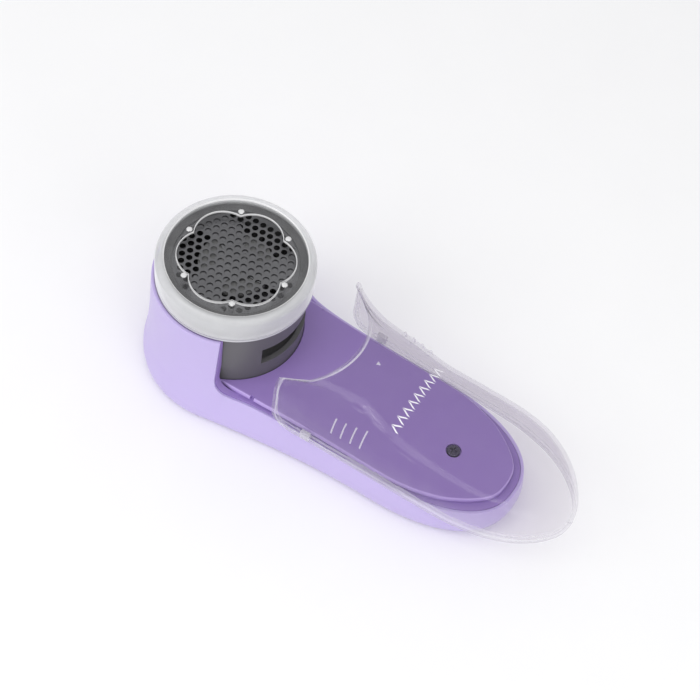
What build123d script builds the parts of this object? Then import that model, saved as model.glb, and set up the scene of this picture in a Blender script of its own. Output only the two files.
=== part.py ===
"""Battery fabric shaver with its clear lint container slid part of the way open.

Millimetres. The origin is the foot of the shaving head's axis on the base plane,
+X runs along the handle to its tail and +Z points out of the shaving head.
"""

import os
from math import cos, pi, radians, sin, sqrt

from build123d import *

# ---------------------------------------------------------------- hull
# level z, head radius, head centre x, angle where the side leaves the head arc,
# half width of the handle, reach of the tail
HULL = [
    (0.0, 32.0, 3.0, 79.0, 22.5, 128.0),
    (1.0, 35.0, 3.0, 79.0, 25.6, 131.5),
    (2.0, 36.6, 3.0, 79.0, 27.3, 133.4),
    (3.0, 37.6, 3.0, 79.0, 28.4, 134.8),
    (4.0, 38.1, 3.0, 79.0, 29.1, 135.8),
    (6.0, 38.4, 3.0, 78.0, 29.8, 136.8),
    (8.0, 38.3, 2.9, 76.0, 30.0, 137.3),
    (10.0, 37.9, 2.8, 73.0, 29.9, 137.4),
    (14.0, 37.0, 2.4, 67.0, 29.2, 137.0),
    (18.0, 36.1, 2.0, 62.0, 28.2, 136.4),
    (30.0, 34.6, 1.2, 62.0, 26.2, 134.0),
    (40.0, 33.9, 0.6, 62.0, 25.2, 132.0),
    (50.0, 33.1, 0.0, 62.0, 24.2, 131.0),
]
TAIL_START = 84.0        # the handle's sides run parallel up to here
TAIL_POWER = 2.35        # how blunt the tail's superellipse is
WAIST = 10.0
CUP_TOP = 50.0
CUP_EDGE_X = 13.8        # the lilac cup ends at this plane, open towards the tail
CUP_EDGE_R = 9.0
RIM_Z = 18.0
REBATE_Z = 16.5
WALL = 2.0
RIM_WALL = 1.2

# ---------------------------------------------------------------- deck
DECK_TOP = 21.0
DECK_PLATE_Z = 19.2
FLANGE_INSET = 1.3
PLATEAU_INSET = 2.2
GROOVE_INSET = 3.3
LINER_BORE_R = 31.2
HEAD_HOLE_R = 30.1
LATCH_X = 28.5

# ---------------------------------------------------------------- head
HOUSING_R = 29.8
HOUSING_WALL = 2.0
HOUSING_FLOOR = (22.5, 24.0)
WINDOW_HALF_Y = 16.2
WINDOW_Z = (29.5, 39.0)
MOTOR_R = 12.2
MOTOR_Z = (13.6, 44.4)
MOTOR_TUBE_R = 12.5
SHAFT_R = 1.0
POST_R = 21.0
POST_ANGLES = (60, 180, 300)
BAYONET_TWIST = 20.0

FOIL_RING_R = 29.6
FOIL_RING_TOP = 60.6
FOIL_Z = (59.4, 59.7)
FOIL_R = 27.6
FOIL_HOLE_R = 1.25
FOIL_PITCH = 3.55
BLADE_R = 24.4
BLADE_Z = (58.7, 59.2)

GUARD_R = 32.0
GUARD_BORE_R = 30.2
GUARD_Z = (51.6, 63.5)
GUARD_RIM_R = 28.4
PETAL_CUSP_R = 20.4
PETAL_LOBE_R = 23.5
PETALS = 6
GUARD_LIFT = 2.0

# ---------------------------------------------------------------- handle
CELL_R = 7.2
CELL_LENGTH = 49.6
CELL_X = 45.6
CELL_Y = 8.0
CELL_Z = 10.3
BAY = (40.0, 99.0, 17.2)         # from x, to x, half width
DOOR = (42.0, 97.0, 15.6)
DECK_SCREW_X = 107.0
SWITCH_X = 25.0

# ---------------------------------------------------------------- container
OPENING = 26.3                   # how far the container stands open
# x when closed, half width, height of the widest point, top, squareness, foot half width
TUB = [
    (13.8, 30.6, 32.0, 48.5, 6.0, 29.5),
    (18.0, 30.2, 31.0, 48.5, 4.4, 29.4),
    (24.0, 29.5, 29.0, 48.5, 3.0, 29.2),
    (32.0, 29.1, 27.0, 48.5, 2.4, 28.9),
    (43.0, 28.8, 25.5, 48.2, 2.3, 28.6),
    (52.0, 28.6, 24.5, 45.2, 2.35, 28.4),
    (62.0, 28.4, 23.5, 42.0, 2.5, 28.3),
    (76.0, 28.2, 23.0, 41.0, 2.9, 28.2),
    (92.0, 27.8, 22.5, 40.4, 3.3, 27.8),
    (107.0, 25.4, 22.0, 39.6, 3.8, 25.4),
    (118.0, 21.4, 21.5, 37.4, 3.6, 21.4),
    (126.0, 16.4, 21.0, 33.6, 3.2, 16.4),
    (131.5, 11.2, 20.5, 29.0, 2.8, 11.2),
    (134.6, 6.4, 20.2, 24.4, 2.4, 6.4),
]
# where the hollow inside the container ends
TUB_HOLLOW_END = (133.2, 8.6, 20.3, 26.2, 2.6, 8.6)
TUB_WALL = 1.6
TUB_GAP = 0.35                   # running gap between the container's foot and the deck
TUB_CORNER_R = 9.6
TUB_FOOT = 18.25
TUB_MOUTH_X = 2.0
TUB_MOUTH_R = 29.9
GRIP_X = (38.0, 41.6, 45.2, 48.8)


def disc(r, z0, z1, x=0.0, y=0.0):
    foot = (Align.CENTER, Align.CENTER, Align.MIN)
    return Pos(x, y, z0) * Cylinder(r, z1 - z0, align=foot)


def ring(r_out, r_in, z0, z1):
    return disc(r_out, z0, z1) - disc(r_in, z0 - 1, z1 + 1)


def block(x0, x1, y0, y1, z0, z1):
    return Pos(x0, y0, z0) * Box(x1 - x0, y1 - y0, z1 - z0, align=(Align.MIN,) * 3)


def polar(r, degrees):
    return (r * cos(radians(degrees)), r * sin(radians(degrees)))


def upright(face, z0, z1):
    return extrude(Pos(0, 0, z0) * face, amount=z1 - z0, dir=(0, 0, 1))


def sector(r_in, r_out, a0, a1, z0, z1):
    mid = (a0 + a1) / 2
    outline = Wire([
        ThreePointArc(polar(r_out, a0), polar(r_out, mid), polar(r_out, a1)),
        Line(polar(r_out, a1), polar(r_in, a1)),
        ThreePointArc(polar(r_in, a1), polar(r_in, mid), polar(r_in, a0)),
        Line(polar(r_in, a0), polar(r_out, a0)),
    ])
    return upright(Face(outline), z0, z1)


def between(table, key):
    for low, high in zip(table, table[1:]):
        if key <= high[0]:
            t = (key - low[0]) / (high[0] - low[0])
            return [a + (b - a) * t for a, b in zip(low, high)]
    return list(table[-1])


def hull_outline(z, inset=0.0):
    """Plan of the body at one level: head arc, two waisted sides, blunt tail."""
    _, r, cx, angle, half, tail = between(HULL, z)
    r, half, tail = r - inset, half - inset, tail - inset
    a = radians(angle)
    x0, y0 = cx + r * cos(a), r * sin(a)
    run = TAIL_START - x0
    pull = run * 0.3 * (angle - 45) / 34
    turn = (x0 + pull * sin(a), y0 - pull * cos(a))
    settle = (TAIL_START - 0.3 * run, half)
    tail_points = []
    for step in range(-6, 7):
        b = radians(15 * step)
        reach = (tail - TAIL_START) * cos(b) ** (2 / TAIL_POWER) if abs(step) < 6 else 0
        side = half * abs(sin(b)) ** (2 / TAIL_POWER)
        tail_points.append((TAIL_START + reach, side if step < 0 else -side))
    left = Bezier((x0, y0), turn, settle, (TAIL_START, half))
    end = Spline(*tail_points, tangents=[(1, 0), (-1, 0)])
    right = Bezier((TAIL_START, -half), (settle[0], -half), (turn[0], -turn[1]), (x0, -y0))
    head = ThreePointArc((x0, -y0), (cx - r, 0), (x0, y0))
    return Face(Wire([left, end, right, head]))


def hull_loft(levels):
    """Solid through the plans at (z, inset) levels, in one loft below WAIST and one above."""
    runs = [[level for level in levels if level[0] <= WAIST],
            [level for level in levels if level[0] >= WAIST]]
    parts = []
    for run in runs:
        if len(run) > 1:
            parts.append(loft([Pos(0, 0, z) * hull_outline(z, inset) for z, inset in run]))
    return parts[0] if len(parts) == 1 else parts[0] + parts[1]


def tail_space(x_edge, z_rim, radius):
    """Everything above the rim and behind the cup's edge, seen from the side."""
    outline = Wire([
        Line((x_edge, 0, 70), (x_edge, 0, z_rim + radius)),
        ThreePointArc(
            (x_edge, 0, z_rim + radius),
            (x_edge + radius * (1 - sqrt(0.5)), 0, z_rim + radius * (1 - sqrt(0.5))),
            (x_edge + radius, 0, z_rim),
        ),
        Line((x_edge + radius, 0, z_rim), (170, 0, z_rim)),
        Line((170, 0, z_rim), (170, 0, 70)),
        Line((170, 0, 70), (x_edge, 0, 70)),
    ])
    return extrude(Face(outline), amount=60, both=True, dir=(0, 1, 0))


def cross_screw(x, y, z_seat, shank_r, length, head_r, head_h, up=1):
    """Pan-head screw: the head stands on z_seat, the shank runs into the part."""
    if up > 0:
        shank = disc(shank_r, z_seat - length, z_seat + 0.01)
        head = disc(head_r, z_seat, z_seat + head_h)
        face = z_seat + head_h
    recess = block(-1.5, 1.5, -0.4, 0.4, face - 0.8, face + 1)
    recess += block(-0.4, 0.4, -1.5, 1.5, face - 0.8, face + 1)
    rim = head.edges().filter_by(GeomType.CIRCLE).group_by(Axis.Z)[-1]
    return Pos(x, y, 0) * (fillet(rim, 0.5) + shank - recess)


def coil(radius, pitch, height, wire_r):
    """Round-wire compression spring standing on z = 0."""
    path = Helix(pitch, height, radius)
    start = Plane(origin=path @ 0, z_dir=path % 0)
    return sweep(start * Circle(wire_r), path, is_frenet=True)


def tub_section(row, shrink):
    """Half-open arch across the container, a superellipse above its widest point."""
    x, half, z_wide, top, power, foot = row
    half, top, foot = half - shrink, top - shrink, foot - shrink
    z_low = TUB_FOOT if shrink <= 0 else TUB_FOOT - 1.0
    arch = []
    for degrees in (0, 14, 28, 40, 50, 62, 76):
        t = radians(degrees)
        y = half * cos(t) ** (2 / power)
        arch.append((y, z_wide + (top - z_wide) * sin(t) ** (2 / power)))
    side = [(foot, z_low), ((foot + 2 * half) / 3, (z_low + z_wide) / 2)] + arch
    points = [(x, -y, z) for y, z in side] + [(x, 0, top)]
    points += [(x, y, z) for y, z in reversed(side)]
    return Face(Wire([Spline(*points), Line(points[-1], points[0])]))


def tub_loft(shrink):
    rows = TUB
    if shrink > 0:
        first = (TUB[0][0] - 3.0,) + TUB[0][1:]
        rows = [first] + TUB[:-1] + [TUB_HOLLOW_END]
    return loft([tub_section(row, shrink) for row in rows])


def tub_footprint():
    """Plan of the room inside the closed container's foot, left open under the head."""
    gap = TUB_WALL + TUB_GAP
    side = [(TUB[0][0] - 0.2, TUB[0][5] - gap)]
    side += [(row[0], row[5] - gap) for row in TUB[1:-2]]
    side += [(129.2, 11.5), (131.3, 8.5), (132.4, 5.0)]
    x, y = side[0]
    curve = side + [(132.8, 0)] + [(a, -b) for a, b in reversed(side)]
    corners = [(x, -y, 0), (x, -45, 0), (-45, -45, 0), (-45, 45, 0), (x, 45, 0), (x, y, 0)]
    edges = [Spline(*[(a, b, 0) for a, b in curve])]
    edges += [Line(a, b) for a, b in zip(corners, corners[1:])]
    return Face(Wire(edges))


def build_lower_shell():
    shell = hull_loft([(row[0], 0) for row in HULL])
    deep = [(WALL, 4.6), (3, 3.1), (4, 2.6), (6, 2.2), (8, 2.05), (10, 2), (REBATE_Z, 2)]
    shell -= hull_loft(deep)
    shell -= hull_loft([(REBATE_Z, RIM_WALL), (RIM_Z, RIM_WALL), (30, RIM_WALL),
                        (40, RIM_WALL), (CUP_TOP, RIM_WALL)])
    shell -= tail_space(CUP_EDGE_X, RIM_Z, CUP_EDGE_R)
    x0, x1, half = BAY
    bay = block(x0, x1, -half, half, 1.9, 17.6)
    bay -= block(x0 + 1.4, x1 - 1.4, 1.4 - half, half - 1.4, 0, 20)
    bay -= block(x0 - 1, x0 + 3, -3, 3, 14.6, 20)
    bay -= block(x0 - 1, x0 + 3, 9.2, 11.4, 14.6, 20)
    bay -= block(x0 - 1, x0 + 3, -11.4, -9.2, 14.6, 20)
    shell += bay
    posts = [polar(POST_R, a) for a in POST_ANGLES]
    for x, y in posts:
        shell += disc(3.2, 1.9, 22.3, x, y)
    shell += disc(3.4, 1.9, 19.0, DECK_SCREW_X, 0)
    for x, y in posts:
        shell -= disc(1.3, 12, 23, x, y)
    shell -= disc(1.3, 9, 20, DECK_SCREW_X, 0)
    dx0, dx1, dhalf = DOOR
    shell -= block(dx0, dx1, -dhalf, dhalf, -1, 3)
    shell -= block(dx0 - 2.0, dx0 + 1, -4.2, 4.2, -1, 1.2)
    shell += block(SWITCH_X - 15, SWITCH_X + 14, -9, 9, 1.9, 3.8)
    scoop = block(SWITCH_X - 13, SWITCH_X + 12, -7, 7, -1, 1.9)
    scoop = fillet(scoop.edges().filter_by(Axis.Z), 3)
    shell -= scoop
    shell -= block(SWITCH_X - 6, SWITCH_X + 7, -2, 2, 1, 5)
    return shell


def build_deck():
    flange = hull_loft([(REBATE_Z + 0.1, FLANGE_INSET), (RIM_Z, FLANGE_INSET)])
    flange -= upright(hull_outline(RIM_Z, 4.8), 10, 30)
    plate = upright(hull_outline(RIM_Z, PLATEAU_INSET), DECK_PLATE_Z, DECK_TOP)
    web = upright(hull_outline(RIM_Z, GROOVE_INSET), REBATE_Z + 0.1, DECK_PLATE_Z + 0.1)
    web -= upright(hull_outline(RIM_Z, 6.2), 10, 30)
    outside = block(-45, 145, -45, 45, RIM_Z + 0.1, 26) - upright(tub_footprint(), 10, 30)
    plate -= outside
    web -= outside
    outer, inner = FLANGE_INSET + 0.05, 3.6
    liner = hull_loft([(RIM_Z, outer), (30, outer), (40, outer), (CUP_TOP - 0.5, outer)])
    liner -= hull_loft([(17, inner), (RIM_Z, inner), (30, inner), (40, inner), (CUP_TOP, inner)])
    liner -= disc(LINER_BORE_R, 17, 60)
    liner -= tail_space(CUP_EDGE_X, RIM_Z, CUP_EDGE_R)
    deck = plate + flange + web + liner
    deck -= disc(HEAD_HOLE_R, 10, 40)
    for side in (1, -1):
        y0, y1 = sorted((side * 26.0, side * 30.0))
        deck -= block(LATCH_X - 0.9, LATCH_X + 0.9, y0, y1, RIM_Z, 22)
    deck += disc(4.4, 19.1, 19.9, DECK_SCREW_X, 0)
    deck -= disc(3.2, 20.0, 22, DECK_SCREW_X, 0)
    deck -= disc(1.45, 15, 22, DECK_SCREW_X, 0)
    return deck


def build_head_housing():
    z0, z1 = HOUSING_FLOOR
    inner = HOUSING_R - HOUSING_WALL
    housing = ring(HOUSING_R, inner, 19.2, CUP_TOP)
    housing += ring(inner + 0.5, MOTOR_TUBE_R, z0, z1)
    housing += ring(MOTOR_TUBE_R + 1.6, MOTOR_TUBE_R, z0, 46.0)
    housing += ring(MOTOR_TUBE_R + 0.5, 3.2, 44.6, 46.0)
    housing -= block(15, 40, -WINDOW_HALF_Y, WINDOW_HALF_Y, *WINDOW_Z)
    for a in POST_ANGLES:
        housing -= disc(1.5, z0 - 1, z1 + 1, *polar(POST_R, a))
    for a in (0, 180):
        housing -= disc(1.45, 44, 47, *polar(8.5, a))
    for k in range(3):
        a = 120 * k + 60
        housing -= sector(27.0, 29.0, a - 7.5, a + BAYONET_TWIST + 7.5, 45.9, 48.2)
        housing -= sector(27.0, 29.0, a + BAYONET_TWIST - 7.5, a + BAYONET_TWIST + 7.5,
                          45.9, CUP_TOP + 1)
    return housing


def build_foil_ring():
    body = ring(FOIL_RING_R, 27.9, 50.3, FOIL_RING_TOP)
    body += ring(FOIL_RING_R - 0.2, 25.2, 59.8, FOIL_RING_TOP)
    body += ring(28.2, 26.2, 50.3, 51.3)
    body += ring(27.5, 26.2, 46.1, 50.6)
    for k in range(3):
        a = 120 * k + 60
        body += sector(27.0, 28.75, a - 6, a + 6, 46.3, 47.8)
    rim = body.edges().filter_by(GeomType.CIRCLE).group_by(Axis.Z)[-1]
    return fillet(rim, 0.35)


def foil_holes():
    row_step = FOIL_PITCH * sqrt(0.75)
    for row in range(-8, 9):
        for column in range(-9, 10):
            x = (column + 0.5 * (row % 2)) * FOIL_PITCH
            y = row * row_step
            if 0 < sqrt(x * x + y * y) < 24.2:
                yield x, y


def build_foil():
    face = Circle(FOIL_R)
    face -= [Pos(x, y) * Circle(FOIL_HOLE_R) for x, y in foil_holes()]
    return extrude(Pos(0, 0, FOIL_Z[0]) * face, amount=FOIL_Z[1] - FOIL_Z[0])


def build_blades():
    """Flat three-armed cutter, each arm swept back along both edges."""
    arms = disc(8.5, *BLADE_Z)
    for k in range(3):
        a = 120 * k + 20
        arm = Wire([
            ThreePointArc(polar(7, a - 38), polar(16, a - 26), polar(BLADE_R, a - 6)),
            ThreePointArc(polar(BLADE_R, a - 6), polar(BLADE_R, a + 14),
                          polar(BLADE_R, a + 34)),
            ThreePointArc(polar(BLADE_R, a + 34), polar(15, a + 20), polar(7, a + 30)),
            Line(polar(7, a + 30), polar(7, a - 38)),
        ])
        arms += upright(Face(arm), *BLADE_Z)
    for k in range(3):
        arms -= disc(1.05, 58, 60, *polar(5, 120 * k + 80))
    return arms


def build_blade_carrier():
    carrier = disc(6.0, 52.6, 58.6) + disc(15.0, 57.2, 58.6)
    for k in range(3):
        carrier += disc(1.0, 58.5, 59.1, *polar(5, 120 * k + 80))
        carrier += sector(5.0, 22.5, 120 * k + 24, 120 * k + 32, 57.2, 58.6)
    return carrier - disc(SHAFT_R + 0.05, 50, 58.2)


def build_guard():
    z0, z1 = GUARD_Z
    k = 1 - sqrt(0.5)
    profile = Wire([
        Line((GUARD_BORE_R, 0, z0), (GUARD_R - 0.2, 0, z0)),
        Line((GUARD_R - 0.2, 0, z0), (GUARD_R, 0, z1 - 2.8)),
        ThreePointArc((GUARD_R, 0, z1 - 2.8), (GUARD_R - 2.8 * k, 0, z1 - 2.8 * k),
                      (GUARD_R - 2.8, 0, z1)),
        Line((GUARD_R - 2.8, 0, z1), (GUARD_RIM_R + 0.2, 0, z1)),
        Line((GUARD_RIM_R + 0.2, 0, z1), (GUARD_RIM_R, 0, z1 - 0.5)),
        Line((GUARD_RIM_R, 0, z1 - 0.5), (10, 0, z1 - 0.5)),
        Line((10, 0, z1 - 0.5), (10, 0, z1 - 1.7)),
        Line((10, 0, z1 - 1.7), (GUARD_BORE_R - 1.2, 0, z1 - 1.7)),
        Line((GUARD_BORE_R - 1.2, 0, z1 - 1.7), (GUARD_BORE_R, 0, z1 - 2.9)),
        Line((GUARD_BORE_R, 0, z1 - 2.9), (GUARD_BORE_R, 0, z0)),
    ])
    guard = revolve(Face(profile), Axis.Z)
    step = 360 / PETALS
    petals = []
    for i in range(PETALS):
        a = i * step
        petals.append(ThreePointArc(polar(PETAL_CUSP_R, a),
                                    polar(PETAL_LOBE_R, a + step / 2),
                                    polar(PETAL_CUSP_R, a + step)))
    guard -= upright(Face(Wire(petals)), z1 - 5, z1 + 5)
    for i in range(PETALS):
        x, y = polar(PETAL_CUSP_R + 2.2, i * step)
        guard += Pos(x, y, z1 - 0.6) * Sphere(1.1) & block(-40, 40, -40, 40, z1 - 1.5, z1)
    return guard


def build_container():
    outer = tub_loft(0)
    ribs = []
    grip = tub_loft(-0.45)
    for x in GRIP_X:
        for y0, y1 in ((14, 40), (-40, -14)):
            ribs.append(grip & block(x - 0.45, x + 0.45, y0, y1, 25.5, 40.5))
    tub = outer
    for rib in ribs:
        tub += rib
    tub -= tub_loft(TUB_WALL)
    tub -= disc(TUB_MOUTH_R, 10, 60, TUB_MOUTH_X)
    radius = TUB_CORNER_R
    z_foot, x_front = TUB_FOOT, TUB[0][0]
    corner = Wire([
        Line((x_front - 1, 0, z_foot - 1), (x_front - 1, 0, z_foot + radius)),
        Line((x_front - 1, 0, z_foot + radius), (x_front, 0, z_foot + radius)),
        ThreePointArc((x_front, 0, z_foot + radius),
                      (x_front + radius * (1 - sqrt(0.5)), 0,
                       z_foot + radius * (1 - sqrt(0.5))),
                      (x_front + radius, 0, z_foot)),
        Line((x_front + radius, 0, z_foot), (x_front + radius, 0, z_foot - 1)),
        Line((x_front + radius, 0, z_foot - 1), (x_front - 1, 0, z_foot - 1)),
    ])
    tub -= extrude(Face(corner), amount=60, both=True, dir=(0, 1, 0))
    for side in (1, -1):
        y0, y1 = sorted((side * 25.4, side * 27.6))
        tub += block(50, 88, y0, y1, TUB_FOOT, TUB_FOOT + 0.7)
        y0, y1 = sorted((side * 27.2, side * 28.4))
        tub += block(LATCH_X - 0.5, LATCH_X + 0.5, y0, y1, TUB_FOOT + 0.2, TUB_FOOT + 2.2)
    return Pos(OPENING, 0, 0) * tub


def build_cell(y, flip):
    can = disc(CELL_R, 0, CELL_LENGTH)
    ends = can.edges().filter_by(GeomType.CIRCLE)
    cell = fillet(ends, 0.7) + disc(2.7, CELL_LENGTH - 0.1, CELL_LENGTH + 0.9)
    if flip:
        return Pos(CELL_X + CELL_LENGTH, y, CELL_Z) * Rot(0, -90, 0) * cell
    return Pos(CELL_X, y, CELL_Z) * Rot(0, 90, 0) * cell


def build_contacts():
    """Head-end plates, tail-end bridge and the two coils that press on the cells."""
    x0, x1 = BAY[0] + 1.5, BAY[1] - 1.5
    head = block(x0, x0 + 0.4, 3.2, 13.0, 4.5, 16.4)
    head += block(x0, x0 + 0.4, -13.0, -3.2, 4.5, 16.4)
    bridge = block(x1 - 0.4, x1, -13.0, 13.0, 4.5, 16.0)
    spring = coil(3.4, 0.85, 2.7, 0.3)
    low = Pos(x0 + 0.75, CELL_Y, CELL_Z) * Rot(0, 90, 0) * spring
    high = Pos(x1 - 0.75, -CELL_Y, CELL_Z) * Rot(0, -90, 0) * coil(3.4, 0.4, 0.9, 0.15)
    return head, bridge, low, high


def build_switch():
    body = block(SWITCH_X - 7, SWITCH_X + 8, -4, 4, 4.8, 10.4)
    body -= block(SWITCH_X - 4.6, SWITCH_X + 5.6, -1.6, 1.6, 4, 7.4)
    for x in (-4, 0.5, 5):
        body += block(SWITCH_X + x - 0.3, SWITCH_X + x + 0.3, -1, 1, 10.3, 13.0)
    knob = block(SWITCH_X - 8.5, SWITCH_X + 3.5, -5.2, 5.2, 0.25, 1.7)
    knob = fillet(knob.edges().filter_by(Axis.Z), 1.6)
    for i in range(5):
        x = SWITCH_X - 6.3 + 1.9 * i
        knob -= block(x - 0.35, x + 0.35, -3.6, 3.6, 0, 0.7)
    knob += block(SWITCH_X - 4.2, SWITCH_X + 0.2, -1.3, 1.3, 1.6, 6.8)
    return body, knob


def build_battery_door():
    x0, x1, half = DOOR
    gap = 0.25
    door = block(x0 + gap, x1 - gap, gap - half, half - gap, 0.15, 1.95)
    door = fillet(door.edges().filter_by(Axis.Z), 1.0)
    door += block(x0 - 1.6, x0 + 2, -3.8, 3.8, 0.15, 1.0)
    for i in range(4):
        x = x0 + 4 + 2.2 * i
        door -= block(x - 0.4, x + 0.4, -5, 5, 0, 0.7)
    for y in (-CELL_Y, CELL_Y):
        for x in (x0 + 14, x1 - 14):
            door += block(x - 0.6, x + 0.6, y - 4, y + 4, 1.9, 2.6)
    return door


def wire(radius, *points):
    """Insulated lead: straight runs joined by round bends."""
    path = FilletPolyline(*points, radius=2.0)
    start = Plane(origin=path @ 0, z_dir=path % 0)
    return sweep(start * Circle(radius), path)


def build_parts():
    head_contacts, bridge, spring_low, spring_high = build_contacts()
    switch_body, switch_knob = build_switch()
    motor_can = disc(MOTOR_R, *MOTOR_Z) - disc(SHAFT_R + 0.08, 10, 46)
    for a in (0, 180):
        motor_can -= disc(1.3, 39.5, 45, *polar(8.5, a))
    endcap = disc(11.4, 11.6, 13.5) - disc(SHAFT_R + 0.4, 10, 14)
    motor_screws = [cross_screw(*polar(8.5, a), 46.05, 1.25, 6, 2.3, 1.3) for a in (0, 180)]
    terminals = block(5.2, 7.2, -0.3, 0.3, 8.4, 11.5) + block(-7.2, -5.2, -0.3, 0.3, 8.4, 11.5)
    housing_screws = [cross_screw(*polar(POST_R, a), HOUSING_FLOOR[1] + 0.05, 1.25, 11,
                                  2.6, 1.5) for a in POST_ANGLES]
    clamp = ring(27.6, 25.5, 57.9, 59.3)
    lift_ring = ring(31.8, 29.9, 50.4, 51.4)
    blade_spring = Pos(0, 0, 46.9) * coil(3.9, 1.35, 5.1, 0.35)
    hot_x, out_x = SWITCH_X + 5, SWITCH_X + 0.5
    red = wire(0.6, (40.8, 10.3, 15.6), (hot_x, 10.3, 15.6), (hot_x, 0, 15.6),
               (hot_x, 0, 13.05))
    black = wire(0.6, (40.8, -10.3, 15.6), (18, -10.3, 15.6), (18, -10.3, 5.6),
                 (-6.2, -10.3, 5.6), (-6.2, 0, 5.6), (-6.2, 0, 8.35))
    lead = wire(0.6, (out_x, 0, 13.05), (out_x, 0, 15.6), (16, 0, 15.6),
                (16, 0, 5.6), (6.2, 0, 5.6), (6.2, 0, 8.35))
    return {
        "lower_shell": build_lower_shell(),
        "deck": build_deck(),
        "deck_screw": cross_screw(DECK_SCREW_X, 0, 20.05, 1.25, 10, 2.7, 1.2),
        "head_housing": build_head_housing(),
        "housing_screws": Compound(housing_screws),
        "motor_can": motor_can,
        "motor_endcap": endcap,
        "motor_terminals": terminals,
        "motor_screws": Compound(motor_screws),
        "motor_shaft": disc(SHAFT_R, 12.0, 58.0),
        "blade_spring": blade_spring,
        "blade_carrier": build_blade_carrier(),
        "blades": build_blades(),
        "foil_ring": build_foil_ring(),
        "foil_clamp": clamp,
        "foil": build_foil(),
        "lift_ring": lift_ring,
        "guard": build_guard(),
        "container": build_container(),
        "battery_a": build_cell(CELL_Y, False),
        "battery_b": build_cell(-CELL_Y, True),
        "head_contacts": head_contacts,
        "tail_contact": bridge,
        "contact_spring_a": spring_low,
        "contact_spring_b": spring_high,
        "battery_door": build_battery_door(),
        "switch_body": switch_body,
        "switch_knob": switch_knob,
        "wire_red": red,
        "wire_black": black,
        "wire_switch": lead,
    }


os.makedirs("parts", exist_ok=True)
for name, shape in build_parts().items():
    shape.label = name
    export_step(shape, f"parts/{name}.step")
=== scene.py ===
"""Looks of the fabric shaver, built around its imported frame. Metres, in the frame's axes."""

import math

import bmesh
import bpy
import numpy as np
from mathutils import Matrix, Vector


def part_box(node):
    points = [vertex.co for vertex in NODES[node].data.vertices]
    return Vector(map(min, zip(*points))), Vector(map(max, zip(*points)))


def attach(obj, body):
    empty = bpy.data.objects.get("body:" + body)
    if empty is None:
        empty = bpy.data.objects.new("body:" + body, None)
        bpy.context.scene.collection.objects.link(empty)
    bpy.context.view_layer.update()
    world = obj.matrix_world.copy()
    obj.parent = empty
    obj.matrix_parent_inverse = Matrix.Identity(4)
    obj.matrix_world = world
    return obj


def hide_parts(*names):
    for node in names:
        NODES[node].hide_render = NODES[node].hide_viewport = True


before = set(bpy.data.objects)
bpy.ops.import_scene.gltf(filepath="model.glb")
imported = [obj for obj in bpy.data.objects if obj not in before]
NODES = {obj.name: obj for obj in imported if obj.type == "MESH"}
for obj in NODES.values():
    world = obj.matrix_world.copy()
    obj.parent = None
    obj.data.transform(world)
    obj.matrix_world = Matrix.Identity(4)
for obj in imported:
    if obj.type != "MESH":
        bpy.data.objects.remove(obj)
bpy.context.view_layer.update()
MM = 0.001

# level z, head radius, head centre x, angle where the side leaves the arc, half width, tail
HULL = np.array([
    (0.0, 32.0, 3.0, 79.0, 22.5, 128.0),
    (1.0, 35.0, 3.0, 79.0, 25.6, 131.5),
    (2.0, 36.6, 3.0, 79.0, 27.3, 133.4),
    (3.0, 37.6, 3.0, 79.0, 28.4, 134.8),
    (4.0, 38.1, 3.0, 79.0, 29.1, 135.8),
    (6.0, 38.4, 3.0, 78.0, 29.8, 136.8),
    (8.0, 38.3, 2.9, 76.0, 30.0, 137.3),
    (10.0, 37.9, 2.8, 73.0, 29.9, 137.4),
    (14.0, 37.0, 2.4, 67.0, 29.2, 137.0),
    (18.0, 36.1, 2.0, 62.0, 28.2, 136.4),
    (30.0, 34.6, 1.2, 62.0, 26.2, 134.0),
    (40.0, 33.9, 0.6, 62.0, 25.2, 132.0),
    (50.0, 33.1, 0.0, 62.0, 24.2, 131.0),
])
TAIL_START, TAIL_POWER = 84.0, 2.35
CUP_TOP, CUP_EDGE_X, CUP_EDGE_R, RIM_Z = 50.0, 13.8, 9.0, 18.0

# x when closed, half width, height of the widest point, top, squareness, foot half width
TUB = np.array([
    (13.8, 30.6, 32.0, 48.5, 9.0, 29.5),
    (18.0, 30.2, 31.0, 48.5, 4.4, 29.4),
    (24.0, 29.5, 29.0, 48.5, 3.0, 29.2),
    (32.0, 29.1, 27.0, 48.5, 2.4, 28.9),
    (43.0, 28.8, 25.5, 48.2, 2.3, 28.6),
    (52.0, 28.6, 24.5, 45.2, 2.35, 28.4),
    (62.0, 28.4, 23.5, 42.0, 2.5, 28.3),
    (76.0, 28.2, 23.0, 41.0, 2.9, 28.2),
    (92.0, 27.8, 22.5, 40.4, 3.3, 27.8),
    (107.0, 25.4, 22.0, 39.6, 3.8, 25.4),
    (118.0, 21.4, 21.5, 37.4, 3.6, 21.4),
    (126.0, 16.4, 21.0, 33.6, 3.2, 16.4),
    (131.5, 10.6, 20.5, 28.6, 2.8, 10.6),
    (134.4, 5.2, 20.0, 22.8, 2.4, 5.2),
    (135.2, 0.4, 19.0, 19.2, 2.2, 0.4),
])
OPENING = 26.3
TUB_FOOT, TUB_WALL, TUB_MOUTH_X, TUB_MOUTH_R = 18.25, 1.6, 2.0, 29.9
TUB_CORNER_R = 9.6


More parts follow.
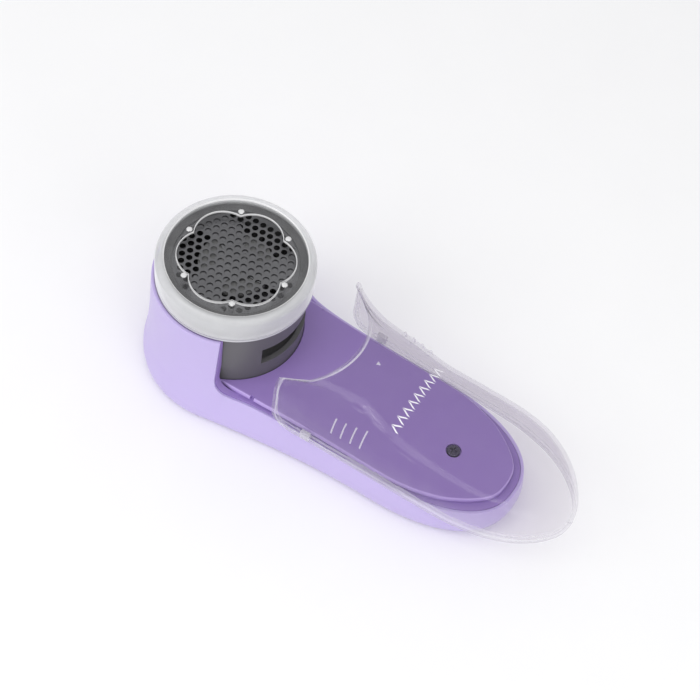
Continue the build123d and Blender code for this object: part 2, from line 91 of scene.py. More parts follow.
# ---------------------------------------------------------------- curves
def smooth_table(table, key):
    """Monotone cubic through the table's columns, so that lofted walls don't ripple."""
    x, y = table[:, 0], table[:, 1:]
    h = np.diff(x)[:, None]
    slope = np.diff(y, axis=0) / h
    m = np.zeros_like(y)
    m[0], m[-1] = slope[0], slope[-1]
    same = slope[:-1] * slope[1:] > 0
    inner = 2 * slope[:-1] * slope[1:] / np.where(same, slope[:-1] + slope[1:], 1.0)
    m[1:-1] = np.where(same, inner, 0.0)
    key = min(max(key, x[0]), x[-1])
    i = min(int(np.searchsorted(x, key, side="right")) - 1, len(x) - 2)
    t = (key - x[i]) / h[i, 0]
    return ((2 * t**3 - 3 * t**2 + 1) * y[i] + (t**3 - 2 * t**2 + t) * h[i] * m[i]
            + (3 * t**2 - 2 * t**3) * y[i + 1] + (t**3 - t**2) * h[i] * m[i + 1])


def resample(curve, count):
    """Points at even steps along a plane curve."""
    length = np.r_[0, np.cumsum(np.hypot(*np.diff(curve, axis=0).T))]
    at = np.linspace(0, length[-1], count)
    return np.c_[np.interp(at, length, curve[:, 0]), np.interp(at, length, curve[:, 1])]


def up_to_x(curve, x_end):
    """The curve as far as x_end, and the index of its first point past there."""
    k = int(np.argmax(curve[:, 0] > x_end))
    t = (x_end - curve[k - 1, 0]) / (curve[k, 0] - curve[k - 1, 0])
    return np.vstack([curve[:k], curve[k - 1] + t * (curve[k] - curve[k - 1])]), k


def half_outline(z, inset=0.0):
    """Half of the body's plan at one level, from the nose round to the tail."""
    r, cx, angle, half, tail = smooth_table(HULL, z)
    r, half, tail = r - inset, half - inset, tail - inset
    a = math.radians(angle)
    turn = np.linspace(math.pi, a, 90)
    arc = np.c_[cx + r * np.cos(turn), r * np.sin(turn)]
    x0, y0 = arc[-1]
    run = TAIL_START - x0
    pull = run * 0.3 * (angle - 45) / 34
    p = np.array([(x0, y0), (x0 + pull * math.sin(a), y0 - pull * math.cos(a)),
                  (TAIL_START - 0.3 * run, half), (TAIL_START, half)])
    t = np.linspace(0, 1, 120)[:, None]
    side = ((1 - t)**3 * p[0] + 3 * (1 - t)**2 * t * p[1]
            + 3 * (1 - t) * t**2 * p[2] + t**3 * p[3])
    b = np.linspace(math.pi / 2, 0, 90)
    end = np.c_[TAIL_START + (tail - TAIL_START) * np.abs(np.cos(b))**(2 / TAIL_POWER),
                half * np.abs(np.sin(b))**(2 / TAIL_POWER)]
    end[-1] = (tail, 0)
    return arc, side, end


def rim_height(x):
    """Top of the shell at x: cup, rounded corner, then the level rim of the handle."""
    if x <= CUP_EDGE_X:
        return RIM_Z + CUP_EDGE_R
    if x >= CUP_EDGE_X + CUP_EDGE_R:
        return RIM_Z
    d = CUP_EDGE_X + CUP_EDGE_R - x
    return RIM_Z + CUP_EDGE_R - math.sqrt(max(CUP_EDGE_R**2 - d**2, 0.0))


NOSE_STEPS, TAIL_STEPS = 44, 34
SIDE_X = np.r_[np.linspace(CUP_EDGE_X, CUP_EDGE_X + CUP_EDGE_R, 15),
               np.linspace(CUP_EDGE_X + CUP_EDGE_R, TAIL_START, 42)[1:]]


def outline_points(z, inset=0.0):
    """The half plan sampled at the same columns on every level."""
    arc, side, end = half_outline(z, inset)
    both = np.vstack([arc, side[1:]])
    nose, k = up_to_x(both, CUP_EDGE_X)
    flank = np.c_[SIDE_X[1:], np.interp(SIDE_X[1:], both[k:, 0], both[k:, 1])]
    tail = resample(end, TAIL_STEPS + 1)[1:]
    return np.vstack([resample(nose, NOSE_STEPS + 1), flank, tail])


# ---------------------------------------------------------------- mesh helpers
def new_object(name, verts, faces, smooth=True):
    """Object from points in millimetres."""
    mesh = bpy.data.meshes.new(name)
    mesh.from_pydata([tuple(float(c) * MM for c in v) for v in verts], [], faces)
    mesh.validate()
    obj = bpy.data.objects.new(name, mesh)
    bpy.context.scene.collection.objects.link(obj)
    if smooth:
        for p in mesh.polygons:
            p.use_smooth = True
    return obj


def weld(obj, distance=1e-6):
    """Merges points that coincide and turns the faces outwards."""
    bm = bmesh.new()
    bm.from_mesh(obj.data)
    bmesh.ops.remove_doubles(bm, verts=bm.verts, dist=distance)
    bmesh.ops.dissolve_degenerate(bm, edges=bm.edges, dist=1e-7)
    bmesh.ops.recalc_face_normals(bm, faces=bm.faces)
    bm.to_mesh(obj.data)
    bm.free()


def apply(obj):
    """Bakes obj's modifiers into its mesh."""
    graph = bpy.context.evaluated_depsgraph_get()
    mesh = bpy.data.meshes.new_from_object(obj.evaluated_get(graph))
    old = obj.data
    obj.modifiers.clear()
    obj.data = mesh
    bpy.data.meshes.remove(old)
    return obj


def smooth_by_angle(obj, degrees=35):
    for p in obj.data.polygons:
        p.use_smooth = True
    obj.data.set_sharp_from_angle(angle=math.radians(degrees))


def solidify(obj, thickness, even=True):
    """Wall that grows inwards from obj's skin."""
    m = obj.modifiers.new("wall", "SOLIDIFY")
    m.thickness = thickness * MM
    m.offset = -1.0
    m.use_even_offset = even
    m.use_rim = True
    return m


def bevel(obj, width, degrees=40, segments=3):
    m = obj.modifiers.new("edge", "BEVEL")
    m.width = width * MM
    m.segments = segments
    m.limit_method = "ANGLE"
    m.angle_limit = math.radians(degrees)
    m.use_clamp_overlap = True


def box_mesh(x0, x1, y0, y1, z0, z1, name="cut", round_z=0.0):
    """A block, with its upright edges rounded when round_z is given."""
    if round_z:
        ring = []
        in_x, in_y = (x0 + round_z, x1 - round_z), (y0 + round_z, y1 - round_z)
        for cx, cy, start in ((in_x[1], in_y[1], 0), (in_x[0], in_y[1], 90),
                              (in_x[0], in_y[0], 180), (in_x[1], in_y[0], 270)):
            for step in range(9):
                a = math.radians(start + step * 90 / 8)
                ring.append((cx + round_z * math.cos(a), cy + round_z * math.sin(a)))
    else:
        ring = [(x0, y0), (x1, y0), (x1, y1), (x0, y1)]
    n = len(ring)
    verts = [(x, y, z0) for x, y in ring] + [(x, y, z1) for x, y in ring]
    faces = [tuple(reversed(range(n))), tuple(range(n, 2 * n))]
    faces += [(i, (i + 1) % n, n + (i + 1) % n, n + i) for i in range(n)]
    obj = new_object(name, verts, faces, smooth=False)
    weld(obj)
    return obj


def cut(obj, cutter):
    m = obj.modifiers.new("cut", "BOOLEAN")
    m.object = cutter
    m.operation = "DIFFERENCE"
    m.solver = "EXACT"
    apply(obj)
    bpy.data.objects.remove(cutter)


def join(name, objects):
    """One object from several, with the first one's materials."""
    bm = bmesh.new()
    for o in objects:
        bm.from_mesh(o.data)
    mesh = bpy.data.meshes.new(name)
    bm.to_mesh(mesh)
    bm.free()
    for material in objects[0].data.materials:
        mesh.materials.append(material)
    for o in objects:
        bpy.data.objects.remove(o)
    obj = bpy.data.objects.new(name, mesh)
    bpy.context.scene.collection.objects.link(obj)
    return obj


# ---------------------------------------------------------------- materials
class Nodes:
    """Small helper for building a material's node tree."""

    def __init__(self, name):
        self.mat = bpy.data.materials.new(name)
        self.mat.use_nodes = True
        self.tree = self.mat.node_tree
        self.tree.nodes.clear()
        self.out = self.add("ShaderNodeOutputMaterial")
        self.bsdf = self.add("ShaderNodeBsdfPrincipled")
        self.link(self.bsdf.outputs[0], self.out.inputs[0])
        self.coords = self.add("ShaderNodeTexCoord").outputs["Object"]

    def add(self, kind, **values):
        node = self.tree.nodes.new(kind)
        for key, value in values.items():
            setattr(node, key, value)
        return node

    def link(self, a, b):
        self.tree.links.new(a, b)

    def noise(self, scale, detail=3.0, rough=0.5, stretch=None):
        source = self.coords
        if stretch:
            mapping = self.add("ShaderNodeMapping")
            mapping.inputs["Scale"].default_value = stretch
            self.link(source, mapping.inputs["Vector"])
            source = mapping.outputs[0]
        n = self.add("ShaderNodeTexNoise")
        n.inputs["Scale"].default_value = scale
        n.inputs["Detail"].default_value = detail
        n.inputs["Roughness"].default_value = rough
        self.link(source, n.inputs["Vector"])
        return n.outputs["Fac"]

    def ramp(self, source, low, high, a, b):
        """Maps source from low..high to a..b."""
        m = self.add("ShaderNodeMapRange")
        for key, value in zip(("From Min", "From Max", "To Min", "To Max"), (low, high, a, b)):
            m.inputs[key].default_value = value
        self.link(source, m.inputs["Value"])
        return m.outputs[0]

    def mix(self, factor, a, b):
        m = self.add("ShaderNodeMix", data_type="RGBA")
        for socket, value in ((m.inputs[6], a), (m.inputs[7], b)):
            if hasattr(value, "is_linked"):
                self.link(value, socket)
            else:
                socket.default_value = (*value, 1)
        self.link(factor, m.inputs[0])
        return m.outputs[2]

    def bump(self, height, strength, distance, normal=None):
        b = self.add("ShaderNodeBump")
        b.inputs["Strength"].default_value = strength
        b.inputs["Distance"].default_value = distance
        self.link(height, b.inputs["Height"])
        if normal is not None:
            self.link(normal, b.inputs["Normal"])
        return b.outputs[0]

    def axis_distance(self):
        """Distance from the object's Z axis."""
        flat = self.add("ShaderNodeVectorMath", operation="MULTIPLY")
        flat.inputs[1].default_value = (1, 1, 0)
        self.link(self.coords, flat.inputs[0])
        radius = self.add("ShaderNodeVectorMath", operation="LENGTH")
        self.link(flat.outputs[0], radius.inputs[0])
        return radius.outputs["Value"]

    def total(self, a, b, clamp=False):
        m = self.add("ShaderNodeMath", operation="ADD", use_clamp=clamp)
        self.link(a, m.inputs[0])
        self.link(b, m.inputs[1])
        return m.outputs[0]

    def set(self, **values):
        """Puts constants or links on the shader's sockets."""
        names = {"color": "Base Color", "rough": "Roughness", "metal": "Metallic",
                 "normal": "Normal", "alpha": "Alpha", "coat": "Coat Weight",
                 "coat_rough": "Coat Roughness", "soft": "Subsurface Weight",
                 "soft_size": "Subsurface Scale"}
        for key, value in values.items():
            socket = self.bsdf.inputs[names[key]]
            if hasattr(value, "is_linked"):
                self.link(value, socket)
            elif key == "color":
                socket.default_value = (*value, 1)
            else:
                socket.default_value = value


def srgb(r, g, b):
    """Linear colour from 0 to 255 sRGB values."""
    def channel(c):
        c /= 255
        return c / 12.92 if c <= 0.04045 else ((c + 0.055) / 1.055)**2.4
    return tuple(channel(c) for c in (r, g, b))


def shade(color, k):
    return tuple(min(c * k, 1.0) for c in color)


def ring_material():
    """Satin ring that holds the foil: light outside; the dark tone of its lip under the guard
    is painted shade.
    """
    n = Nodes("silver_ring")
    outside = n.ramp(n.axis_distance(), 28.2 * MM, 29.2 * MM, 0, 1)
    marks = n.noise(800, 3, 0.6, (0.5, 0.5, 8))
    cloud = n.noise(60, 4, 0.6)
    # Inner lip darkened by radius: painted shade under the guard, over the ring's own light
    # satin tone.
    tone = n.mix(outside, srgb(84, 84, 85), srgb(205, 206, 206))
    n.set(color=n.mix(n.ramp(cloud, 0.3, 0.7, 0, 0.12), tone, srgb(150, 150, 150)))
    n.set(metal=0.35, rough=n.ramp(marks, 0.3, 0.7, 0.4, 0.55))
    n.set(normal=n.bump(marks, 0.3, 0.00003))
    return n.mat


def plastic(name, color, rough=0.35, grain=0.3, coat=0.0, soft=0.0):
    """Moulded plastic: fine spark-eroded grain, slight flow marks and rubbed patches."""
    n = Nodes(name)
    flow = n.noise(9, 2, 0.5)
    wear = n.noise(55, 5, 0.6)
    tone = n.mix(n.ramp(flow, 0.35, 0.65, 0, 1), shade(color, 0.96), shade(color, 1.03))
    n.set(color=n.mix(n.ramp(wear, 0.62, 0.8, 0, 0.35), tone, shade(color, 1.12)))
    n.set(rough=n.ramp(wear, 0.3, 0.7, rough - 0.05, rough + 0.06))
    fine = n.noise(2600, 2, 0.5)
    n.set(normal=n.bump(fine, grain, 0.00003, n.bump(flow, 0.15, 0.0004)))
    if coat:
        n.set(coat=coat, coat_rough=0.12)
    if soft:
        n.set(soft=soft, soft_size=0.004)
        n.bsdf.inputs["Subsurface Radius"].default_value = (1.0, 0.7, 1.0)
    return n.mat


def metal(name, color, rough=0.3, stretch=(1, 1, 1), grain=0.25, scale=900):
    """Steel with drawn or turned marks and small tone changes."""
    n = Nodes(name)
    marks = n.noise(scale, 3, 0.6, stretch)
    cloud = n.noise(40, 4, 0.6)
    n.set(color=n.mix(n.ramp(cloud, 0.3, 0.7, 0, 1), shade(color, 0.9), shade(color, 1.06)))
    n.set(metal=1.0, rough=n.ramp(marks, 0.3, 0.7, rough - 0.06, rough + 0.08))
    n.set(normal=n.bump(marks, grain, 0.00003))
    return n.mat


def clear_plastic(name, tint, haze, rough, gloss, frosted_from=None):
    """Thin clear wall: what is behind it shows through a grey tint, under a gloss.

    haze is the milky share of clean and of rubbed patches; gloss is the share reflected
    face-on and edge-on; frosted_from is the radius about Z, in metres, outside which the
    wall is frosted.
    """
    n = Nodes(name)
    flow = n.noise(22, 2, 0.4, (1, 0.4, 1))
    rub = n.noise(150, 4, 0.65)
    normal = n.bump(flow, 0.25, 0.0006, n.bump(rub, 0.06, 0.00004))
    n.set(color=(0.93, 0.935, 0.95), metal=1.0, normal=normal)
    roughness = n.ramp(rub, 0.4, 0.8, rough, rough + 0.09)
    weight = n.add("ShaderNodeLayerWeight")
    weight.inputs["Blend"].default_value = 0.5
    n.link(normal, weight.inputs["Normal"])
    power = n.add("ShaderNodeMath", operation="POWER")
    power.inputs[1].default_value = 4.0
    n.link(weight.outputs["Facing"], power.inputs[0])
    sheen = n.ramp(power.outputs[0], 0, 1, *gloss)
    milk = n.ramp(rub, 0.35, 0.75, *haze)
    if frosted_from:
        wall = (n.axis_distance(), frosted_from, frosted_from + 0.4 * MM)
        n.set(metal=n.ramp(*wall, 1, 0.1))
        roughness = n.total(roughness, n.ramp(*wall, 0, 0.3))
        milk = n.total(milk, n.ramp(*wall, 0, 0.34))
    n.set(rough=roughness)
    share = n.total(sheen, milk, clamp=True)
    clear = n.add("ShaderNodeBsdfTransparent")
    clear.inputs[0].default_value = (*tint, 1)
    mixer = n.add("ShaderNodeMixShader")
    n.link(share, mixer.inputs[0])
    n.link(clear.outputs[0], mixer.inputs[1])
    n.link(n.bsdf.outputs[0], mixer.inputs[2])
    n.link(mixer.outputs[0], n.out.inputs[0])
    return n.mat


def painted_clear_highlight(name, color, alpha):
    """Pale, partly opaque paint for edges and small reliefs of a clear wall: a painted
    highlight for the bright line that light makes there.
    """
    n = Nodes(name)
    rub = n.noise(900, 3, 0.6)
    n.set(color=n.mix(rub, shade(color, 0.9), shade(color, 1.05)), coat=0.6, coat_rough=0.08)
    n.set(rough=n.ramp(rub, 0.3, 0.7, 0.15, 0.3), alpha=alpha)
    n.set(normal=n.bump(rub, 0.15, 0.00004))
    return n.mat


LILAC = plastic("lilac_plastic", srgb(196, 181, 230), 0.38, 0.35, coat=0.15, soft=0.12)
PURPLE = plastic("purple_plastic", srgb(150, 125, 190), 0.42, 0.35)
# Lighter, glossier purple for the plateau's side and rounded edge: a painted highlight where
# the edge catches the light.
PURPLE_PAINTED_HIGHLIGHT = plastic("purple_painted_highlight", srgb(184, 160, 222), 0.3, 0.2, coat=0.4)
HOUSING = plastic("housing_grey", srgb(98, 97, 99), 0.36, 0.45)
CARRIER = plastic("carrier_plastic", srgb(112, 112, 112), 0.45, 0.4)
BLACK = plastic("black_plastic", srgb(30, 30, 32), 0.45, 0.4)
LIFTER = plastic("lifter_plastic", srgb(200, 200, 204), 0.25, 0.2)
RED = plastic("red_pvc", srgb(176, 26, 28), 0.4, 0.2)
BLUE = plastic("blue_pvc", srgb(34, 66, 150), 0.4, 0.2)
BLACK_PVC = plastic("black_pvc", srgb(24, 24, 26), 0.4, 0.2)
RING = ring_material()
FOIL = metal("foil_steel", srgb(118, 118, 120), 0.34, (1, 1, 1), 0.2, 1500)
BLADE = metal("blade_steel", srgb(122, 122, 124), 0.3, (1, 14, 1), 0.3, 500)
SCREW = metal("screw_steel", srgb(92, 88, 104), 0.3, (1, 1, 1), 0.3, 1400)
CAN = metal("motor_steel", srgb(190, 190, 188), 0.35, (1, 1, 10), 0.3, 600)
SPRING = metal("spring_steel", srgb(176, 176, 178), 0.3, (1, 1, 1), 0.2, 900)
CONTACT = metal("contact_steel", srgb(200, 200, 196), 0.28, (1, 8, 1), 0.2, 600)
BRASS = metal("brass", srgb(214, 178, 98), 0.3, (1, 1, 1), 0.2, 900)
CLEAR_GUARD = clear_plastic("clear_guard", (0.93, 0.93, 0.93), haze=(0.01, 0.04), rough=0.06,
                            gloss=(0.03, 0.85), frosted_from=28.3 * MM)
CLEAR_TUB = clear_plastic("clear_container", (0.93, 0.92, 0.935), haze=(0.0, 0.015),
                          rough=0.09, gloss=(0.012, 0.6))
# Painted highlights for the guard's and the container's edges, studs, ridges and marks.
GUARD_PAINTED_HIGHLIGHT = painted_clear_highlight("clear_guard_painted_highlight", (0.86, 0.86, 0.86), 0.85)
TUB_PAINTED_HIGHLIGHT = painted_clear_highlight("clear_container_painted_highlight", (0.84, 0.83, 0.88), 0.36)
INK = plastic("white_ink", srgb(240, 238, 244), 0.5, 0.2)


def cell_material():
    """Battery sleeve: a plain two-tone band along the cell, without any lettering."""
    n = Nodes("cell_wrap")
    split = n.add("ShaderNodeSeparateXYZ")
    n.link(n.coords, split.inputs[0])
    band = n.ramp(split.outputs["X"], 62.0 * MM, 62.3 * MM, 0, 1)
    scuff = n.noise(240, 4, 0.6)
    tone = n.mix(band, srgb(188, 150, 84), srgb(34, 38, 44))
    n.set(color=n.mix(n.ramp(scuff, 0.6, 0.8, 0, 0.3), tone, srgb(120, 118, 112)))
    n.set(rough=n.ramp(scuff, 0.3, 0.7, 0.22, 0.4), coat=0.3, coat_rough=0.1)
    n.set(normal=n.bump(scuff, 0.1, 0.00005))
    return n.mat


CELL = cell_material()

# CAD nodes that stay in view with a better material
CAD_MATERIALS = {
    "deck_screw": SCREW, "head_housing": HOUSING, "housing_screws": SCREW,
    "motor_can": CAN, "motor_endcap": BLACK, "motor_terminals": BRASS, "motor_screws": SCREW,
    "motor_shaft": CAN, "blade_spring": SPRING, "blade_carrier": CARRIER, "blades": BLADE,
    "foil_ring": RING, "foil_clamp": BLACK, "lift_ring": LIFTER, "battery_a": CELL,
    "battery_b": CELL, "head_contacts": CONTACT, "tail_contact": CONTACT,
    "contact_spring_a": SPRING, "contact_spring_b": SPRING, "battery_door": LILAC,
    "switch_body": BLACK, "switch_knob": PURPLE, "wire_red": RED, "wire_black": BLACK_PVC,
    "wire_switch": BLUE,
}
for node, material in CAD_MATERIALS.items():
    NODES[node].data.materials.clear()
    NODES[node].data.materials.append(material)


def two_tone(obj, wall, edge, gets_painted_highlight):
    """Gives obj a wall material and a second material that paints highlights;
    gets_painted_highlight picks the faces that take it.
    """
    obj.data.materials.append(wall)
    obj.data.materials.append(edge)
    for p in obj.data.polygons:
        p.material_index = int(gets_painted_highlight(p))


# ---------------------------------------------------------------- lower shell
SHELL_WALL = 1.25
BAY = (40.0, 99.0, 17.2)         # from x, to x, half width
BAY_WALL = 1.4
BAY_Z = (1.1, 17.6)
DOOR = (42.0, 97.0, 15.6)
# rows of the skin: shares of the height up to the rim, then levels up the cup
LOW_ROWS = np.r_[np.linspace(0, 4, 9), np.linspace(4, 10, 9)[1:], np.linspace(10, 27, 15)[1:]]
LOW_ROWS = LOW_ROWS / LOW_ROWS[-1]
HIGH_ROWS = np.linspace(RIM_Z + CUP_EDGE_R, CUP_TOP, 16)


def shell_skin():
    """Outer skin of the body up to its rim, one strip of quads per column."""
    levels = {}

    def at(z):
        z = round(float(z), 4)
        if z not in levels:
            levels[z] = outline_points(z)
        return levels[z]

    columns = len(at(RIM_Z))
    verts, faces = [], []
    index = {}

    def vert(k, side, x, y, z):
        key = (k, side if y > 1e-9 else 1, round(z, 5))
        if key not in index:
            index[key] = len(verts)
            verts.append((x, side * y, z))
        return index[key]

    grid = {}
    for side in (1, -1):
        for k in range(columns):
            flank = NOSE_STEPS < k <= NOSE_STEPS + len(SIDE_X) - 1
            top = rim_height(SIDE_X[k - NOSE_STEPS]) if flank else (
                RIM_Z + CUP_EDGE_R if k <= NOSE_STEPS else RIM_Z)
            rows = [f * top for f in LOW_ROWS]
            if k <= NOSE_STEPS:
                rows += list(HIGH_ROWS[1:])
            for j, z in enumerate(rows):
                x, y = at(z)[k]
                grid[side, k, j] = vert(k, side, x, max(y, 0.0), z)
    low = len(LOW_ROWS)
    for side in (1, -1):
        for k in range(columns - 1):
            last = low + len(HIGH_ROWS) - 1 if k < NOSE_STEPS else low
            for j in range(last - 1):
                quad = [grid[side, k, j], grid[side, k + 1, j],
                        grid[side, k + 1, j + 1], grid[side, k, j + 1]]
                faces.append(tuple(quad if side < 0 else reversed(quad)))
    for k in range(columns - 1):
        ring = [grid[1, k, 0], grid[1, k + 1, 0], grid[-1, k + 1, 0], grid[-1, k, 0]]
        ring = list(dict.fromkeys(ring))
        if len(ring) > 2:
            faces.append(tuple(ring))
    obj = new_object("shell_skin", verts, faces)
    weld(obj)
    return obj


def bay_walls():
    """Four walls round the cells, above the door."""
    x0, x1, half = BAY
    in0, in1, inner = x0 + BAY_WALL, x1 - BAY_WALL, half - BAY_WALL
    return [box_mesh(*plan, *BAY_Z) for plan in (
        (x0, in0, -half, half), (in1, x1, -half, half),
        (in0, in1, -half, -inner), (in0, in1, inner, half))]


def lower_shell():
    """Lilac body with the door's opening, its finger notch and the switch's scoop."""
    shell = shell_skin()
    solidify(shell, SHELL_WALL)
    apply(shell)
    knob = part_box("switch_knob")
    cx = (knob[0].x + knob[1].x) / 2 / MM + 2.5
    x0, x1, half = DOOR
    cut(shell, box_mesh(x0, x1, -half, half, -2, 4, round_z=0.9))
    cut(shell, box_mesh(x0 - 2.1, x0 + 1, -4.2, 4.2, -2, 1.05))
    cut(shell, box_mesh(cx - 12.5, cx + 12.5, -7, 7, -2, 4, round_z=3))
    bevel(shell, 0.35, 45, 3)
    apply(shell)
    scoop_floor = box_mesh(cx - 13.5, cx + 13.5, -8, 8, 1.9, 3.6)
    cut(scoop_floor, box_mesh(cx - 6, cx + 7, -2, 2, 0, 6))
    body = join("lower_shell_visible", [shell, scoop_floor] + bay_walls())
    smooth_by_angle(body, 40)
    body.data.materials.clear()
    body.data.materials.append(LILAC)
    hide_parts("lower_shell")
    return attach(body, "casing")


lower_shell()


# ---------------------------------------------------------------- deck
DECK_TOP, DECK_PLATE_Z, DECK_EDGE_R = 21.0, 19.2, 1.0
PLATEAU_INSET, GROOVE_INSET, WEB_INSET = 2.2, 3.3, 6.2
FLANGE_Z = 16.6
HEAD_HOLE_R, LINER_BORE_R = 30.1, 31.2
NOTCH_X, NOTCH_HALF = 28.5, 0.9
DECK_SCREW_X = 107.0
TUB_GAP = 0.35                   # running gap between the container's foot and the deck
TAIL_X = 100.0                   # centre of the polar outline that clears the tail
# room inside the closed container's tail: angle about TAIL_X in degrees, radius
TUB_TAIL_ROOM = np.array([
    (0.0, 32.0), (8.8, 31.95), (15.2, 31.4), (21.5, 30.3), (29.1, 28.7),
    (47.2, 26.0), (73.4, 24.4), (90.0, 24.9),
])


def cylinder(radius, z0, z1, x=0.0, y=0.0, steps=160):
    ring = [(x + radius * math.cos(2 * math.pi * i / steps),
             y + radius * math.sin(2 * math.pi * i / steps)) for i in range(steps)]
    verts = [(a, b, z0) for a, b in ring] + [(a, b, z1) for a, b in ring]
    faces = [tuple(range(steps - 1, -1, -1)), tuple(range(steps, 2 * steps))]
    faces += [(i, (i + 1) % steps, steps + (i + 1) % steps, steps + i) for i in range(steps)]
    return new_object("cylinder", verts, faces, smooth=False)


def closed_outline(z, inset):
    """Whole plan at one level, anticlockwise, without repeated points."""
    half = outline_points(z, inset)
    half[0, 1] = half[-1, 1] = 0.0
    return np.vstack([half[::-1], (half * (1, -1))[1:-1]])


def stack(name, rings, closed):
    """Skin over rings of the same number of points; closed joins the last ring to the first."""
    n = len(rings[0])
    verts = [v for ring in rings for v in ring]
    faces = []
    for i in range(len(rings) if closed else len(rings) - 1):
        j = (i + 1) % len(rings)
        faces += [(i * n + k, i * n + (k + 1) % n, j * n + (k + 1) % n, j * n + k)
                  for k in range(n)]
    if not closed:
        faces += [tuple(range(n)), tuple(range((len(rings) - 1) * n, len(rings) * n))]
    obj = new_object(name, verts, faces)
    weld(obj)
    return obj


def plan_ring(z, inset, spare=None):
    """Outline of the rim moved in by inset; spare keeps it that far inside the container."""
    outline = closed_outline(RIM_Z, inset)
    if spare is not None:
        outline = [tub_room(x, y, spare) for x, y in outline]
    return [(x, y, z) for x, y in outline]


def tub_room(x, y, spare):
    """A plan point of the deck, pulled in where the closed container's foot needs the room."""
    if x > TAIL_X:
        angle = math.degrees(math.atan2(abs(y), x - TAIL_X))
        free = smooth_table(TUB_TAIL_ROOM, angle)[0] - spare
        k = min(1.0, free / math.hypot(x - TAIL_X, y))
        return TAIL_X + (x - TAIL_X) * k, y * k
    if x > TUB[0, 0] - 0.2:
        free = smooth_table(TUB, x)[-1] - TUB_WALL - TUB_GAP - spare
        return x, math.copysign(min(abs(y), free), y)
    return x, y


def deck_plate():
    """Raised plateau with a rounded edge, its hole for the head, notches and screw seat."""
    rings = [plan_ring(DECK_PLATE_Z, PLATEAU_INSET, 0.0)]
    for b in np.linspace(0, math.pi / 2, 7):
        inset = DECK_EDGE_R * (1 - math.cos(b))
        z = DECK_TOP - DECK_EDGE_R * (1 - math.sin(b))
        rings.append(plan_ring(z, PLATEAU_INSET + inset, inset))
    plate = stack("plate", rings, closed=False)
    low, high = (DECK_PLATE_Z + 0.2) * MM, (DECK_TOP - 0.2) * MM
    # The plateau's side and rounded edge take the lighter purple: painted highlight.
    two_tone(plate, PURPLE, PURPLE_PAINTED_HIGHLIGHT,
             lambda p: len(p.vertices) == 4 and low < p.center.z < high)
    cut(plate, cylinder(HEAD_HOLE_R, 10, 40))
    for y0, y1 in ((26.0, 30.0), (-30.0, -26.0)):
        cut(plate, box_mesh(NOTCH_X - NOTCH_HALF, NOTCH_X + NOTCH_HALF, y0, y1, 18, 22))
    cut(plate, cylinder(3.2, 20.0, 22, DECK_SCREW_X, 0, 48))
    cut(plate, cylinder(1.45, 15, 22, DECK_SCREW_X, 0, 32))
    return plate


def deck_flange():
    """Ledge that lies in the shell's rebate, with the web up to the plateau."""
    ledge = [(1.3, FLANGE_Z), (1.3, 17.6), (1.36, 17.83), (1.5, 17.95), (1.7, RIM_Z)]
    web_top = DECK_PLATE_Z + 0.05
    web = [(GROOVE_INSET, RIM_Z), (GROOVE_INSET, web_top), (WEB_INSET, web_top)]
    rings = [plan_ring(z, inset) for inset, z in ledge]
    rings += [plan_ring(z, inset, 0.0) for inset, z in web]
    return stack("flange", rings + [plan_ring(FLANGE_Z, WEB_INSET)], closed=True)


def nose_curve(z, inset, x_end, count=56):
    """Plan of the nose at one level, from x_end on one side round to x_end on the other."""
    arc, side, _ = half_outline(z, inset)
    half = resample(up_to_x(np.vstack([arc, side[1:]]), x_end)[0], count)
    half[0, 1] = 0.0
    return np.vstack([half[::-1], (half * (1, -1))[1:]])


def deck_liner():
    """Violet lining of the cup, seen as a band along its cut edge."""
    rings = []
    corner = RIM_Z + CUP_EDGE_R
    for z in np.r_[17.0, np.linspace(RIM_Z, corner, 14), np.linspace(corner, 49.1, 14)[1:],
                   49.35, 49.5]:
        low = min(max(corner - z, 0.0), CUP_EDGE_R)
        x_end = CUP_EDGE_X + CUP_EDGE_R - math.sqrt(CUP_EDGE_R**2 - low**2)
        trim = 0.15 if z > 49.4 else 0.0
        outer = nose_curve(z, 1.35 + trim, x_end)
        inner = nose_curve(z, 3.6 - trim, x_end)[::-1]
        rings.append([(x, y, z) for x, y in np.vstack([outer, inner])])
    liner = stack("liner", rings, closed=False)
    # the two ends are long crescents: ladders of quads replace their single faces
    bm = bmesh.new()
    bm.from_mesh(liner.data)
    n = len(rings[0])
    bmesh.ops.delete(bm, geom=[f for f in bm.faces if len(f.verts) > 4], context="FACES_ONLY")
    bm.verts.ensure_lookup_table()
    count = len(bm.verts)
    for base in (0, count - n):
        for k in range(n // 2 - 1):
            quad = (base + k, base + k + 1, base + n - 2 - k, base + n - 1 - k)
            bm.faces.new([bm.verts[i] for i in quad])
    bmesh.ops.recalc_face_normals(bm, faces=bm.faces)
    bm.to_mesh(liner.data)
    bm.free()
    cut(liner, cylinder(LINER_BORE_R, 15, 60))
    bevel(liner, 0.4, 50, 3)
    return apply(liner)


def deck():
    """Violet deck: plateau, ledge and the cup's lining."""
    body = join("deck_visible", [deck_plate(), deck_flange(), deck_liner()])
    smooth_by_angle(body, 35)
    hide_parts("deck")
    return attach(body, "casing")


deck()


# ---------------------------------------------------------------- container
FLANK = 0.2                      # share of the section's parameter below the widest point
FRONT_STEPS = np.array([0.0, 0.35, 0.8, 1.2, 1.5, 1.8, 2.2, 2.8, 3.6])
LIP_ROWS = (3, 4)                # strips behind the mouth painted pale: a painted highlight for its bright line
RIDGE_X = (39.5, 43.7, 48.0, 52.2)
RIDGE_Z = (31.6, 38.6)
LATCH_X = 29.0


def tub_arch(x, t):
    """Point of the container's cross-section at closed x; t is 0 at the foot, 1 on top."""
    half, z_wide, top, power, foot = smooth_table(TUB, x)
    if t < FLANK:
        s = t / FLANK
        y = foot + (half - foot) * math.sin(s * math.pi / 2)
        return y, TUB_FOOT + (z_wide - TUB_FOOT) * s
    a = (t - FLANK) / (1 - FLANK) * math.pi / 2
    y = half * max(math.cos(a), 0.0)**(2 / power)
    return y, z_wide + (top - z_wide) * math.sin(a)**(2 / power)


